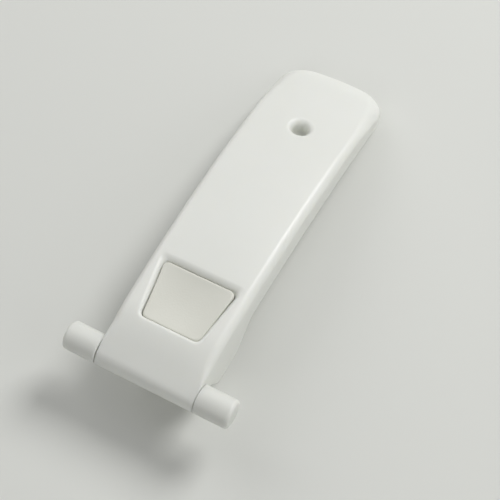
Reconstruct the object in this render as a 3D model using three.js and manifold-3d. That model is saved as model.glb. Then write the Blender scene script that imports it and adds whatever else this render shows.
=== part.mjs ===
// Stair gate latch: a two-part moulded lever on a pivot bar, with a sprung catch that a thumb
// button draws back.
// Millimetres, +Z up. X runs along the pivot bar and +Y from the bar to the lever's tip.
import * as THREE from 'three';
import { mergeVertices } from 'three/addons/utils/BufferGeometryUtils.js';
import Module from 'manifold-3d';

const wasm = await Module();
wasm.setup();

// ---------------------------------------------------------------- driving dimensions

// Fits
const slideGap = 0.3; // between parts that slide on or face each other
const pinPlay = 0.1; // radial, between the pin and every bore
const over = 1; // cutting tools run past the faces they cut
const facets = 32; // round a full turn
const cornerFacets = 6; // round a quarter turn
const crownFacets = 3; // from a rounded edge to the centre line
const trunnionFacets = 5; // round the outer edge of a trunnion
const coilFacets = { perTurn: 10, round: 6 };
const stationCounts = { nose: 12, lug: 20, body: 14, tip: 16, plate: 24, pad: 18 };
const endTrim = 0.02; // lofts stop this far from where they would close to nothing

// Pivot bar: a steel pin with a plastic trunnion on each end
const barHeight = 14; // bar axis above the surface the latch lies on
const barDiameter = 6.8;
const trunnionReach = 8.1; // visible length of each trunnion
const trunnionEdge = 0.9; // rounding of the outer end
const pinDiameter = 3.5;
const pinGrip = 6; // length of pin inside each trunnion
const pinChamfer = 0.4;

// Lever
const leverReach = 100.5; // bar axis to tip
const rootWidth = 24.5; // over the cheeks at the bar
const tipWidth = 29;
const archHeight = 20.8; // highest point of the arched top
const archPeak = 15; // distance of that point from the bar axis
const tipHeight = 5.2; // where the arch would meet the tip
const rampRun = 7.5; // bar axis to where the straight ramp up from the bar would meet the arch
const rampBlend = 1.6; // softness of the ridge between the ramp and the arch
const cheekRun = 7; // length over which the lower edge leaves the bar
const skirtDepth = 9.2; // top to lower edge at the peak
const undersidePeak = 12;
const heelSetback = 7; // the lower edge meets the resting surface this far from the tip
const tipRun = 11; // length over which the outline closes to the tip
const tipSquareness = 3; // superellipse exponent of the outline at the tip
const lipRun = 7; // length over which the top rolls down at the tip
const lipHeight = 1.6; // thickness left at the very tip
const wall = 1.8;
const edgeRadius = 1.1; // along both sides of the top
const tipEdgeRadius = 4.2; // the same edge where it runs round the tip
const footRadius = 0.4; // along the lower edges
const crown = 0.35; // rise of the top across its width
const innerEdgeRadius = 0.4; // least rounding inside the hollow's top edges
const lugFoot = 5.2; // lowest point of the lugs that the cheeks form beside the catch
const lugStart = 3.9; // the lugs start down here
const lugDrop = 4.6; // and are down after this length
const lugLength = 6.5; // straight foot of a lug
const lugRise = 9.5; // length over which a lug runs up into the underside
const cavitySetback = 8; // end of the hollow to the tip

// Window and thumb button
const windowStart = 9;
const windowLength = 14.5;
const windowNearWidth = 14.6;
const windowFarWidth = 18.4;
const windowCorner = 1.6;
const buttonFit = 0.25; // round the button in its window
const flangeWidth = 1.3; // the button's ledge under the window's edge
const flangeThickness = 1;
const buttonTravel = 1.8;
const padStep = 0.15; // the pad's seat above the button's ledge
const padBond = 0.05; // adhesive under the pad
const padRecessNear = 1.1; // pad's edge below the lever's top at the bar side
const padRecessFar = 0.4;
const padDish = 0.3; // depth of the thumb's dish along the pad's sides
const padHollow = 0.6; // and how much deeper its middle is
const padEdgeRadius = 0.35;
const wedgeRatio = 1.4; // catch travel for each unit of button travel
const wedgeWidth = 5.8;
const wedgeStart = 11.5;
const wedgeTipLength = 1.5;
const wedgeTipLift = 0.6; // wedge tip above the catch's underside

// Catch
const stemThickness = 3.2;
const stemTopWidth = 13;
const stemFootWidth = 10;
const stemPlay = 0.4; // bar to the stem at rest
const noseOverhang = 2.1; // nose tip in front of the stem, less than the catch's travel
const noseThickness = 3.2;
const leadIn = 1.4; // chamfer under the nose tip
const throatRadius = 0.5;
const heelRadius = 1.6;
const flareHeight = 1.6; // the stem starts to widen this far above the nose
const catchThickness = 1.6;
const catchWidth = 12;
const catchEnd = 27;
const upstandThickness = 1.5;
const upstandWidth = 7;
const upstandDrop = 0.2; // below the top of the spring's centre line circle

// Base plate
const baseThickness = 1.4;
const baseEdgeRadius = 0.2;
const railThickness = 1;
const railHeight = 1.6;
const railStart = 19;
const railLength = 8;

// Springs
const catchSpring = { radius: 2, wire: 0.5, length: 10.5, turns: 6, spigot: 1.3, spigotLength: 3 };
const buttonSpring = { radius: 1.25, wire: 0.4, turns: 4 };
const springDip = 0.4; // the catch spring reaches this far below the catch
const catchSpringPlay = 0.15; // at each end
const buttonSpringPlay = 0.05;
const springSeatThickness = 1.6;
const springSeatWidth = 8;

// Blind hole near the tip
const holeDiameter = 4.4;
const holeDepth = 4;
const holeSetback = 26; // hole axis to tip
const holeFlare = 1.6; // rounding of its rim
const holeFloorRadius = 1.4;
const bossWall = 1.5;

// Screws
const screw = { head: 4.2, headDepth: 1, shank: 2.2, length: 5.2, point: 0.7 };
const screwPlay = 0.25;
const screwRows = [41, 64]; // distances from the bar axis
const screwInset = 6.2; // screw axis to the lever's side

// ---------------------------------------------------------------- derived shape of the lever

const barRadius = barDiameter / 2;
const rootHalf = rootWidth / 2;
const tipHalf = tipWidth / 2;

// Radius of the circle with its top at the peak that has fallen by drop at run.
function arcRadius(run, drop) {
  return (run * run + drop * drop) / (2 * drop);
}

// Height of such a circle below its top, at a distance from the peak.
function arcDrop(radius, distance) {
  return radius - Math.sqrt(radius * radius - distance * distance);
}

const heelStart = leverReach - heelSetback;
const cavityEnd = leverReach - cavitySetback;
const topRadius = arcRadius(leverReach - archPeak, archHeight - tipHeight);
const undersideHeight = archHeight - skirtDepth;
const undersideRadius = arcRadius(heelStart - undersidePeak, undersideHeight);

function archAt(y) {
  return archHeight - arcDrop(topRadius, y - archPeak);
}

// Lower of two heights, with a soft join where they differ by less than the reach.
function softLower(a, b, reach) {
  const near = Math.max(0, 1 - Math.abs(a - b) / reach);
  return Math.min(a, b) - (near * near * reach) / 4;
}

// Slope of the line that meets the arch at the ramp's end and just touches the round of the bar.
function rampSlope() {
  const height = archAt(rampRun) - barHeight;
  return Math.acos(barRadius / Math.hypot(rampRun, height)) - Math.atan2(rampRun, height);
}

// Top of the lever on its centre line: round the bar, up the ramp, along the arch, then down
// the lip at the tip.
function topAt(y) {
  const slope = rampSlope();
  if (y < -barRadius * Math.sin(slope)) {
    return barHeight + Math.sqrt(barRadius * barRadius - y * y);
  }
  const ramp = barHeight + barRadius / Math.cos(slope) + y * Math.tan(slope);
  const top = softLower(ramp, archAt(y), rampBlend);
  const u = Math.max(0, (y - (leverReach - lipRun)) / lipRun);
  return lipHeight + (top - lipHeight) * Math.sqrt(Math.max(0, 1 - u * u));
}

function undersideAt(y) {
  const run = Math.min(y, heelStart) - undersidePeak;
  return Math.max(0, undersideHeight - arcDrop(undersideRadius, run));
}

// Share of a lug's full depth at y.
function lugAt(y) {
  const down = THREE.MathUtils.smoothstep(y, lugStart, lugStart + lugDrop);
  const riseStart = lugStart + lugDrop + lugLength;
  return down * (1 - THREE.MathUtils.smoothstep(y, riseStart, riseStart + lugRise));
}

// Lower edge of the cheeks: round the bar, down to the lugs, then up and along the underside.
function lowerEdgeAt(y) {
  const barBottom = barHeight - Math.sqrt(Math.max(0, barRadius ** 2 - Math.min(y, 0) ** 2));
  const u = THREE.MathUtils.smoothstep(y, 0, cheekRun);
  const edge = THREE.MathUtils.lerp(barBottom, undersideAt(y), u);
  return THREE.MathUtils.lerp(edge, lugFoot, lugAt(y));
}

// Half width of the lever's outline, drawn in by inset all round.
function halfWidthAt(y, inset = 0) {
  const straight = THREE.MathUtils.lerp(rootHalf, tipHalf, y / leverReach) - inset;
  const close = tipRun - inset;
  const u = Math.max(0, (y - (leverReach - tipRun)) / close);
  return straight * Math.max(0, 1 - u ** tipSquareness) ** (1 / tipSquareness);
}

// The edge rounding grows as the edge turns round the tip.
function edgeAt(y) {
  return THREE.MathUtils.lerp(edgeRadius, tipEdgeRadius,
    THREE.MathUtils.smoothstep(y, leverReach - 2 * tipRun, leverReach - tipRun / 2));
}

// ---------------------------------------------------------------- geometry helpers

function solidOf(geometry) {
  const bare = geometry.clone();
  bare.deleteAttribute('normal');
  bare.deleteAttribute('uv');
  const merged = mergeVertices(bare, 1e-4);
  return new wasm.Manifold(new wasm.Mesh({
    numProp: 3,
    vertProperties: merged.attributes.position.array,
    triVerts: new Uint32Array(merged.index.array),
  }));
}

function geometryOf(solid) {
  const mesh = solid.getMesh();
  const geometry = new THREE.BufferGeometry();
  geometry.setAttribute('position', new THREE.BufferAttribute(mesh.vertProperties, mesh.numProp));
  geometry.setIndex(new THREE.BufferAttribute(mesh.triVerts, 1));
  geometry.computeVertexNormals();
  return geometry;
}

function join(...solids) {
  return solids.reduce((whole, next) => whole.add(next));
}

function cut(solid, ...tools) {
  return tools.reduce((whole, tool) => whole.subtract(tool), solid);
}

// Evenly spaced values from a to b, both included.
function steps(a, b, count) {
  return Array.from({ length: count + 1 }, (_, i) => a + ((b - a) * i) / count);
}

// Stations that crowd towards both ends, for shapes that close there.
function roundedStations(a, b, count) {
  return steps(0, Math.PI, count).map((t) => a + ((b - a) * (1 - Math.cos(t))) / 2);
}

// Cross-section in X and Z: flat foot, upright sides, rounded top edges and a slightly crowned top.
// Both roundings shrink with the section where it gets too low or too narrow for them.
function archSection(half, top, bottom, radius, rise) {
  const height = top - bottom;
  const r = Math.min(radius, 0.8 * height, 0.9 * half);
  const foot = Math.min(footRadius, 0.15 * height, 0.5 * half);
  const right = [[half - foot, bottom], [half, bottom + foot]];
  for (const a of steps(0, Math.PI / 2, cornerFacets)) {
    right.push([half - r + r * Math.cos(a), top - r + r * Math.sin(a)]);
  }
  const inner = half - r;
  for (const share of steps(1, 0, crownFacets).slice(1, -1)) {
    right.push([inner * share, top + rise * (1 - share * share)]);
  }
  const left = right.map(([x, z]) => [-x, z]).reverse();
  return [...right, [0, top + rise], ...left];
}

// Skins a run of cross-sections that all have the same number of points, and closes both ends.
function loft(stations, sectionAt) {
  const rings = stations.map((y) => sectionAt(y).map(([x, z]) => [x, y, z]));
  const count = rings[0].length;
  const index = [];
  for (let i = 0; i < rings.length - 1; i += 1) {
    for (let j = 0; j < count; j += 1) {
      const a = i * count + j;
      const b = i * count + ((j + 1) % count);
      index.push(a, a + count, b, b, a + count, b + count);
    }
  }
  const last = (rings.length - 1) * count;
  for (let j = 1; j < count - 1; j += 1) {
    index.push(0, j, j + 1);
    index.push(last, last + j + 1, last + j);
  }
  const geometry = new THREE.BufferGeometry();
  geometry.setAttribute('position', new THREE.Float32BufferAttribute(rings.flat(2), 3));
  geometry.setIndex(index);
  return solidOf(geometry);
}

function extruded(shape, depth) {
  return new THREE.ExtrudeGeometry(shape, {
    depth,
    bevelEnabled: false,
    curveSegments: cornerFacets,
  });
}

// Outline in X and Y, pulled up along Z from bottom to top.
function prism(shape, bottom, top) {
  return solidOf(extruded(shape, top - bottom).translate(0, 0, bottom));
}

// Side profile in Y and Z, pulled out along X to a width, centred on x.
function slab(shape, width, x = 0) {
  const geometry = extruded(shape, width);
  geometry.translate(0, 0, -width / 2);
  geometry.applyMatrix4(new THREE.Matrix4().makeBasis(
    new THREE.Vector3(0, 1, 0), new THREE.Vector3(0, 0, 1), new THREE.Vector3(1, 0, 0)));
  return solidOf(geometry.translate(x, 0, 0));
}

function block(width, yFrom, yTo, zFrom, zTo, x = 0) {
  const geometry = new THREE.BoxGeometry(width, yTo - yFrom, zTo - zFrom);
  return solidOf(geometry.translate(x, (yFrom + yTo) / 2, (zFrom + zTo) / 2));
}

// Turned piece: profile points are radius and height, and its axis is Z until it is placed.
function turned(points) {
  const profile = points.map(([r, h]) => new THREE.Vector2(r, h));
  return new THREE.LatheGeometry(profile, facets).rotateX(Math.PI / 2);
}

function rod(radius, from, to) {
  return turned([[0, from], [radius, from], [radius, to], [0, to]]);
}

const zToX = new THREE.Matrix4().makeRotationY(Math.PI / 2);
const zToY = new THREE.Matrix4().makeRotationX(-Math.PI / 2);

// Puts a piece that was drawn up the Z axis at a point of the lever, square to a surface of that slope.
function squareTo(geometry, x, y, z, slope) {
  return solidOf(geometry.rotateX(slope).translate(x, y, z));
}

// Polygon with every corner rounded.
function roundedOutline(points, radius) {
  const shape = new THREE.Shape();
  points.forEach((point, i) => {
    const corner = new THREE.Vector2(...point);
    const before = new THREE.Vector2(...points[(i + points.length - 1) % points.length]);
    const after = new THREE.Vector2(...points[(i + 1) % points.length]);
    const start = before.clone().sub(corner).setLength(radius).add(corner);
    const end = after.clone().sub(corner).setLength(radius).add(corner);
    if (i === 0) {
      shape.moveTo(start.x, start.y);
    } else {
      shape.lineTo(start.x, start.y);
    }
    shape.quadraticCurveTo(corner.x, corner.y, end.x, end.y);
  });
  shape.closePath();
  return shape;
}

// The window's outline, grown by an offset.
function windowOutline(offset) {
  const near = windowNearWidth / 2 + offset;
  const far = windowFarWidth / 2 + offset;
  const start = windowStart - offset;
  const end = windowStart + windowLength + offset;
  return roundedOutline([[-near, start], [near, start], [far, end], [-far, end]], windowCorner);
}

function windowHalfAt(y) {
  return THREE.MathUtils.lerp(windowNearWidth, windowFarWidth, (y - windowStart) / windowLength) / 2;
}

class Helix extends THREE.Curve {
  constructor(radius, length, turns) {
    super();
    Object.assign(this, { radius, length, turns });
  }

  getPoint(t, target = new THREE.Vector3()) {
    const a = t * this.turns * 2 * Math.PI;
    return target.set(this.radius * Math.cos(a), this.radius * Math.sin(a), this.length * t);
  }
}

// Compression spring that stands on z = 0, its wire's ends half a wire inside its length.
function coil({ radius, wire, length, turns }) {
  const section = new THREE.Shape();
  section.absellipse(0, 0, wire / 2, wire / 2, 0, 2 * Math.PI);
  const geometry = new THREE.ExtrudeGeometry(section, {
    steps: turns * coilFacets.perTurn,
    curveSegments: coilFacets.round / 2,
    bevelEnabled: false,
    extrudePath: new Helix(radius, length - wire, turns),
  });
  return geometry.translate(0, 0, wire / 2);
}

// ---------------------------------------------------------------- where the inner parts lie

const holeY = leverReach - holeSetback;
const windowEnd = windowStart + windowLength;
const windowMid = (windowStart + windowEnd) / 2;
const ceilingAtWindow = Math.min(topAt(windowStart - flangeWidth), topAt(windowEnd + flangeWidth))
  - crown - wall;
const flangeTop = ceilingAtWindow - slideGap;
const flangeBottom = flangeTop - flangeThickness;
const baseTop = undersideHeight + baseThickness;
const catchBottom = baseTop + slideGap;
const catchTop = catchBottom + catchThickness;
const stemFront = barRadius + stemPlay;
const stemBack = stemFront + stemThickness;
const catchTravel = buttonTravel * wedgeRatio;
const baseStart = stemBack + catchTravel + slideGap;
const wedgeTip = catchBottom + wedgeTipLift;
const springAxis = catchBottom - springDip + catchSpring.wire / 2 + catchSpring.radius;
const springSeat = catchEnd + catchSpring.length;

// ---------------------------------------------------------------- lever cover

function leverStations() {
  const tipStart = leverReach - 2 * tipRun;
  const tipLength = 2 * tipRun - endTrim;
  const nose = roundedStations(-barRadius + endTrim, barRadius, stationCounts.nose);
  const lug = steps(barRadius, lugStart + lugDrop + lugLength + lugRise, stationCounts.lug);
  const body = steps(lug.at(-1), tipStart, stationCounts.body);
  const tip = steps(0, Math.PI / 2, stationCounts.tip).map((t) => tipStart + tipLength * Math.sin(t));
  return [...nose, ...lug.slice(1), ...body.slice(1), ...tip.slice(1)];
}

function leverBody() {
  return loft(leverStations(), (y) => archSection(
    halfWidthAt(y), topAt(y) - crown, lowerEdgeAt(y), edgeAt(y), crown));
}

// The space under the cover's top, open below and drawn in by an inset from its outer skin.
function leverInside(inset) {
  const inner = leverStations().filter((y) => y > barRadius + slideGap && y < cavityEnd - wall);
  const stations = [barRadius, ...inner, cavityEnd];
  return loft(stations, (y) => archSection(
    halfWidthAt(y, inset), topAt(y) - crown - inset, lowerEdgeAt(y) - inset,
    Math.max(edgeAt(y) - inset, innerEdgeRadius), crown));
}

function screwPlaces() {
  return screwRows.flatMap((y) => [-1, 1].map((side) => ({
    x: side * (halfWidthAt(y) - screwInset),
    y,
    z: undersideAt(y),
    slope: -Math.asin((y - undersidePeak) / undersideRadius),
  })));
}

function placedAtScrew(geometry, { x, y, z, slope }) {
  return squareTo(geometry, x, y, z, slope);
}

// Everything from the base plate's top face down, kept free of the cover's bosses.
function baseRoom() {
  const stations = steps(barRadius, cavityEnd, stationCounts.plate);
  return loft(stations, (y) => archSection(
    tipWidth, undersideAt(y) + baseThickness + slideGap, undersideAt(y) - archHeight, baseEdgeRadius, 0));
}

function leverCover() {
  const body = leverBody();
  const bossTop = archHeight;
  const bosses = screwPlaces().map((place) => placedAtScrew(
    rod(screw.shank / 2 + bossWall, 0, bossTop), place));
  const holeBoss = squareToTop(rod(holeDiameter / 2 + bossWall, -holeDepth - bossWall, 0), holeY);
  // The bosses end in the middle of the wall above them.
  const inside = cut(join(holeBoss, ...bosses).intersect(leverInside(wall / 2)), baseRoom());
  const pilots = screwPlaces().map((place) => placedAtScrew(
    rod(screw.shank / 2 + pinPlay, 0, screw.length + screw.point + slideGap), place));
  const bore = solidOf(rod(pinDiameter / 2 + pinPlay, -rootWidth, rootWidth)
    .applyMatrix4(zToX).translate(0, 0, barHeight));
  const windowCut = prism(windowOutline(0), flangeTop, archHeight + over);
  return cut(join(cut(body, leverInside(wall)), inside), bore, holeTool(), windowCut, ...pilots);
}

// Puts a turned piece on the arched top's centre line, square to the slope there.
function squareToTop(geometry, y) {
  return squareTo(geometry, 0, y, archAt(y), -Math.asin((y - archPeak) / topRadius));
}

// Blind hole near the tip, with a rounded floor and a rim that rolls over into the top.
function holeTool() {
  const r = holeDiameter / 2;
  const floor = steps(0, Math.PI / 2, cornerFacets).map((a) => [
    r - holeFloorRadius * (1 - Math.sin(a)), -holeDepth + holeFloorRadius * (1 - Math.cos(a))]);
  const rim = steps(0, Math.PI / 2, cornerFacets).map((a) => [
    r + holeFlare * (1 - Math.cos(a)), -holeFlare * (1 - Math.sin(a))]);
  const profile = [[0, -holeDepth], ...floor, ...rim, [r + holeFlare, over], [0, over]];
  return squareToTop(turned(profile), holeY);
}

// ---------------------------------------------------------------- lever base

function leverBase() {
  const inset = wall + slideGap;
  const end = cavityEnd - slideGap;
  const plate = loft(steps(baseStart, end, stationCounts.plate), (y) => archSection(
    halfWidthAt(y, inset), undersideAt(y) + baseThickness, undersideAt(y), baseEdgeRadius, 0));
  const railX = catchWidth / 2 + slideGap + railThickness / 2;
  const railEnd = railStart + railLength;
  const railFoot = undersideAt(railEnd) + baseThickness / 2;
  const rails = [-1, 1].map((side) => block(
    railThickness, railStart, railEnd, railFoot, catchBottom + railHeight, side * railX));
  const seatFoot = undersideAt(springSeat) + baseThickness / 2;
  const seatTop = Math.min(springAxis + catchSpring.radius, archAt(springSeat) - wall - slideGap);
  const seat = block(springSeatWidth, springSeat + slideGap, springSeat + slideGap + springSeatThickness,
    seatFoot, seatTop);
  const holes = screwPlaces().map((place) => placedAtScrew(turned([
    [0, -over], [screw.head / 2 + screwPlay, -over], [screw.head / 2 + screwPlay, 0],
    [screw.shank / 2 + screwPlay, screw.headDepth], [screw.shank / 2 + screwPlay, baseThickness + over],
    [0, baseThickness + over]]), place));
  const wedgeHole = block(wedgeWidth + 2 * slideGap, wedgeStart - slideGap,
    wedgeStart + wedgeTipLength + wedgeRatio * (buttonTravel + baseThickness), 0, baseTop + over);
  return cut(join(plate, ...rails, seat), wedgeHole, ...holes);
}

// Countersunk self-tapping screw, its head's face on z = 0 and its point up.
function baseScrew() {
  return turned([[0, 0], [screw.head / 2, 0], [screw.shank / 2, screw.headDepth],
    [screw.shank / 2, screw.length], [0, screw.length + screw.point]]);
}

// ---------------------------------------------------------------- pivot bar

function pivotPin() {
  const half = rootHalf + slideGap + pinGrip;
  const r = pinDiameter / 2;
  return turned([[0, -half], [r - pinChamfer, -half], [r, -half + pinChamfer],
    [r, half - pinChamfer], [r - pinChamfer, half], [0, half]]).applyMatrix4(zToX);
}

// Drawn from its inner face at 0 out to its rounded end, with a blind bore for the pin.
function trunnion() {
  const bore = pinDiameter / 2 + pinPlay;
  const round = steps(0, Math.PI / 2, trunnionFacets).map((a) => [
    barRadius - trunnionEdge * (1 - Math.cos(a)),
    trunnionReach - trunnionEdge * (1 - Math.sin(a)),
  ]);
  const depth = pinGrip + slideGap;
  return turned([[0, depth], [bore, depth], [bore, 0], [barRadius, 0], ...round, [0, trunnionReach]]);
}

// ---------------------------------------------------------------- catch

// Side view of the hook and its stem: a foot that points at the bar side, under the gate's keeper.
function catchProfile() {
  const tip = stemFront - noseOverhang;
  const shape = new THREE.Shape();
  shape.moveTo(stemFront, catchTop);
  shape.lineTo(stemFront, noseThickness + throatRadius);
  shape.absarc(stemFront - throatRadius, noseThickness + throatRadius, throatRadius, 0, -Math.PI / 2, true);
  shape.lineTo(tip, noseThickness);
  shape.lineTo(tip, leadIn);
  shape.lineTo(tip + leadIn, 0);
  shape.lineTo(stemBack - heelRadius, 0);
  shape.absarc(stemBack - heelRadius, heelRadius, heelRadius, -Math.PI / 2, 0, false);
  shape.lineTo(stemBack, catchTop);
  shape.closePath();
  return shape;
}

// Front view of the same: narrow at the foot, widening up to the plate.
function stemTaper() {
  const flareStart = noseThickness + flareHeight;
  const right = [
    [stemFootWidth / 2, -over], [stemFootWidth / 2, flareStart],
    [stemTopWidth / 2, catchBottom], [stemTopWidth / 2, catchTop + over]];
  const left = right.map(([x, z]) => [-x, z]).reverse();
  const shape = new THREE.Shape([...right, ...left].map(([x, z]) => new THREE.Vector2(x, z)));
  const reach = stemBack + over;
  return solidOf(new THREE.ExtrudeGeometry(shape, { depth: reach, bevelEnabled: false })
    .rotateX(Math.PI / 2).translate(0, reach, 0));
}

function latchCatch() {
  const hook = slab(catchProfile(), stemTopWidth).intersect(stemTaper());
  const plate = block(catchWidth, stemBack - over, catchEnd, catchBottom, catchTop);
  const upstand = block(upstandWidth, catchEnd - upstandThickness, catchEnd,
    catchBottom, springAxis + catchSpring.radius - upstandDrop);
  const spigot = solidOf(rod(catchSpring.spigot, -upstandThickness / 2, catchSpring.spigotLength)
    .applyMatrix4(zToY).translate(0, catchEnd, springAxis));
  return cut(join(hook, plate, upstand, spigot), wedgeSlot());
}

// Foot of the sloping face at height z, on the button's wedge (gap 0) or on the catch's slot.
function wedgeFaceAt(z, gap) {
  return wedgeStart + wedgeTipLength + gap * Math.hypot(1, wedgeRatio) + wedgeRatio * (z - wedgeTip);
}

function wedgeSlot() {
  const shape = new THREE.Shape();
  const low = catchBottom - over;
  const high = catchTop + over;
  const front = wedgeStart - catchTravel - slideGap;
  shape.moveTo(front, low);
  shape.lineTo(wedgeFaceAt(low, slideGap), low);
  shape.lineTo(wedgeFaceAt(high, slideGap), high);
  shape.lineTo(front, high);
  shape.closePath();
  return slab(shape, wedgeWidth + 2 * slideGap);
}

// ---------------------------------------------------------------- thumb button

// Share of the dish's full depth: none at the window's two ends and all of it halfway.
function dishAt(y) {
  const u = (y - windowStart) / windowLength;
  return 4 * u * (1 - u);
}

// The pad's top at its sides: lower at the bar end, with a shallow dish for the thumb.
function padTopAt(y) {
  const recess = THREE.MathUtils.lerp(padRecessNear, padRecessFar, (y - windowStart) / windowLength);
  return archAt(y) - recess - padDish * dishAt(y);
}

const padSeat = flangeTop + padStep;

function releaseButton() {
  const plate = prism(windowOutline(-buttonFit), flangeBottom, padSeat);
  const flange = prism(windowOutline(flangeWidth), flangeBottom, flangeTop);
  const wedge = new THREE.Shape();
  const root = flangeBottom + flangeThickness / 2;
  wedge.moveTo(wedgeStart, wedgeTip);
  wedge.lineTo(wedgeStart + wedgeTipLength, wedgeTip);
  wedge.lineTo(wedgeFaceAt(root, 0), root);
  wedge.lineTo(wedgeStart, root);
  wedge.closePath();
  return join(plate, flange, slab(wedge, wedgeWidth));
}

function buttonPad() {
  const from = windowStart + buttonFit;
  const to = windowEnd - buttonFit;
  const corner = windowCorner - buttonFit;
  const half = (y) => {
    const d = Math.min(y - from, to - y, corner);
    return windowHalfAt(y) - buttonFit - (corner - Math.sqrt(corner * corner - (corner - d) ** 2));
  };
  return loft(roundedStations(from, to, stationCounts.pad), (y) => archSection(
    half(y), padTopAt(y), padSeat + padBond, padEdgeRadius, -padHollow * dishAt(y)));
}

// ---------------------------------------------------------------- the latch

const whitePlastic = { color: 0xf2f3ef, roughness: 0.34, metalness: 0 };
const warmPlastic = { color: 0xe0dfd6, roughness: 0.5, metalness: 0 };
const steel = { color: 0xb9bcbe, roughness: 0.3, metalness: 1 };

const latch = new THREE.Group();
latch.name = 'stair_gate_latch';
// The frame's origin lies under the middle of the whole outline.
latch.position.y = -(leverReach - barRadius) / 2;

function addPiece(parent, name, geometry, finish) {
  const mesh = new THREE.Mesh(geometry, new THREE.MeshStandardMaterial(finish));
  mesh.name = name;
  parent.add(mesh);
  return mesh;
}

const bar = new THREE.Group();
bar.position.z = barHeight;
latch.add(bar);
addPiece(bar, 'pivot_pin', pivotPin(), steel);
[['trunnion_left', -1], ['trunnion_right', 1]].forEach(([name, side]) => {
  const piece = addPiece(bar, name, trunnion(), whitePlastic);
  piece.rotation.y = (side * Math.PI) / 2;
  piece.position.x = side * (rootHalf + slideGap);
});

addPiece(latch, 'lever_cover', geometryOf(leverCover()), whitePlastic);
addPiece(latch, 'lever_base', geometryOf(leverBase()), whitePlastic);
screwPlaces().forEach(({ x, y, z, slope }, i) => {
  const piece = addPiece(latch, `base_screw_${i + 1}`, baseScrew(), steel);
  piece.position.set(x, y, z);
  piece.rotation.x = slope;
});

addPiece(latch, 'latch_catch', geometryOf(latchCatch()), whitePlastic);
const catchCoil = addPiece(latch, 'catch_spring', coil(catchSpring), steel);
catchCoil.rotation.x = -Math.PI / 2;
catchCoil.position.set(0, catchEnd + catchSpringPlay, springAxis);

addPiece(latch, 'release_button', geometryOf(releaseButton()), whitePlastic);
addPiece(latch, 'button_pad', geometryOf(buttonPad()), warmPlastic);
const buttonSpringX = catchWidth / 2 + slideGap + buttonSpring.radius + buttonSpring.wire / 2;
const buttonSpringFoot = baseTop + buttonSpringPlay;
const buttonCoil = { ...buttonSpring, length: flangeBottom - buttonSpringPlay - buttonSpringFoot };
[['button_spring_left', -1], ['button_spring_right', 1]].forEach(([name, side]) => {
  const piece = addPiece(latch, name, coil(buttonCoil), steel);
  piece.position.set(side * buttonSpringX, windowMid, buttonSpringFoot);
});

export default latch;
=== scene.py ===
# %% [markdown]
# # A stair gate latch
# The latch is a white moulded lever that swings on a short bar. A thumb pad near the bar
# draws back a small hook under it. The frame already holds every piece at its place and
# size, so this file only gives each one its fine shape and its finish.

import math

import bmesh
import bpy
import numpy as np
from mathutils import Matrix, Vector


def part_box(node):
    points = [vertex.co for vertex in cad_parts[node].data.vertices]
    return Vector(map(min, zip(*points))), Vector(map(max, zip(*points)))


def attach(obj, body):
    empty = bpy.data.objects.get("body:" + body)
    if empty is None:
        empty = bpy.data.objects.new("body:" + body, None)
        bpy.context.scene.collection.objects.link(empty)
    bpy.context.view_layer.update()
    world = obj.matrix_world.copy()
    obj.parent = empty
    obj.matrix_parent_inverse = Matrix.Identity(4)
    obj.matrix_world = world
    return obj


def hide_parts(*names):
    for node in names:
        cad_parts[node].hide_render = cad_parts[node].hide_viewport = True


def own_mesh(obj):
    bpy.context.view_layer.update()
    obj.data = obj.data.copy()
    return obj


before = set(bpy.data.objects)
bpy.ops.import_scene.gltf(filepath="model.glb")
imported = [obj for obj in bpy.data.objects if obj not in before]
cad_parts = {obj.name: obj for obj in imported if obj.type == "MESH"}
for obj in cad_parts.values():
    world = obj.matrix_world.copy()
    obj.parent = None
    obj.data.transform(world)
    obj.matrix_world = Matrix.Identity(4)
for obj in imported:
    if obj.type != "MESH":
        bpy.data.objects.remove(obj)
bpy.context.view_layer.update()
print("nodes:", len(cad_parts))

# %% [markdown]
# ## Units and sizes
# Blender works in metres here, while moulded parts are thought of in millimetres. One factor
# turns the second into the first. What the boxes of the frame's pieces can tell, such as
# where the bar lies, is read from them rather than written again.

# %% Sizes from the frame
mm = 0.001


def node_box(name):
    low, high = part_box(name)
    return np.array(low), np.array(high)


bar_low, bar_high = node_box("trunnion_left")
cover_high = node_box("lever_cover")[1]
bar_radius = (bar_high[2] - bar_low[2]) / 2
bar_y = (bar_high[1] + bar_low[1]) / 2
bar_z = (bar_high[2] + bar_low[2]) / 2
lever_reach = cover_high[1] - bar_y
arch_height = cover_high[2]
print(f"bar radius {bar_radius / mm:.2f} mm, lever reach {lever_reach / mm:.1f} mm")

# %% [markdown]
# ## The camera
# The latch is seen from above, in front and to the right, so that the top of the lever and
# its right side both show. The lens is a little longer than normal, as for small products.
# The camera is placed by two angles and a distance round a point on the lever, because those
# can be changed one at a time, where a plain position would have to be turned again.

# %% Camera
view_azimuth = math.radians(27.5)
view_elevation = math.radians(61.2)
view_distance = 239 * mm
view_across = 3.6 * mm
view_out = 40.2 * mm
view_up = 8 * mm
view_target = Vector((view_across, bar_y + view_out, view_up))

camera_data = bpy.data.cameras.new("camera")
camera_data.sensor_width = 36
camera_data.lens = 72
camera = bpy.data.objects.new("camera", camera_data)
bpy.context.scene.collection.objects.link(camera)
back = Vector((
    math.sin(view_azimuth) * math.cos(view_elevation),
    -math.cos(view_azimuth) * math.cos(view_elevation),
    math.sin(view_elevation),
))
camera.location = view_target + back * view_distance
camera.rotation_euler = back.to_track_quat("Z", "Y").to_euler()
camera_data.clip_start = 10 * mm
camera_data.clip_end = 5
bpy.context.scene.camera = camera
print("camera at", [round(v / mm) for v in camera.location], "mm")

# %% [markdown]
# ## Colours and shader nodes
# A colour on screen isn't linear, but a shader's colours are, so one function turns the
# usual six-digit code into linear values. Another adds a node with its settings and links,
# so that a material reads as a list of what it is made of.

# %% Colour and node helpers


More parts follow.
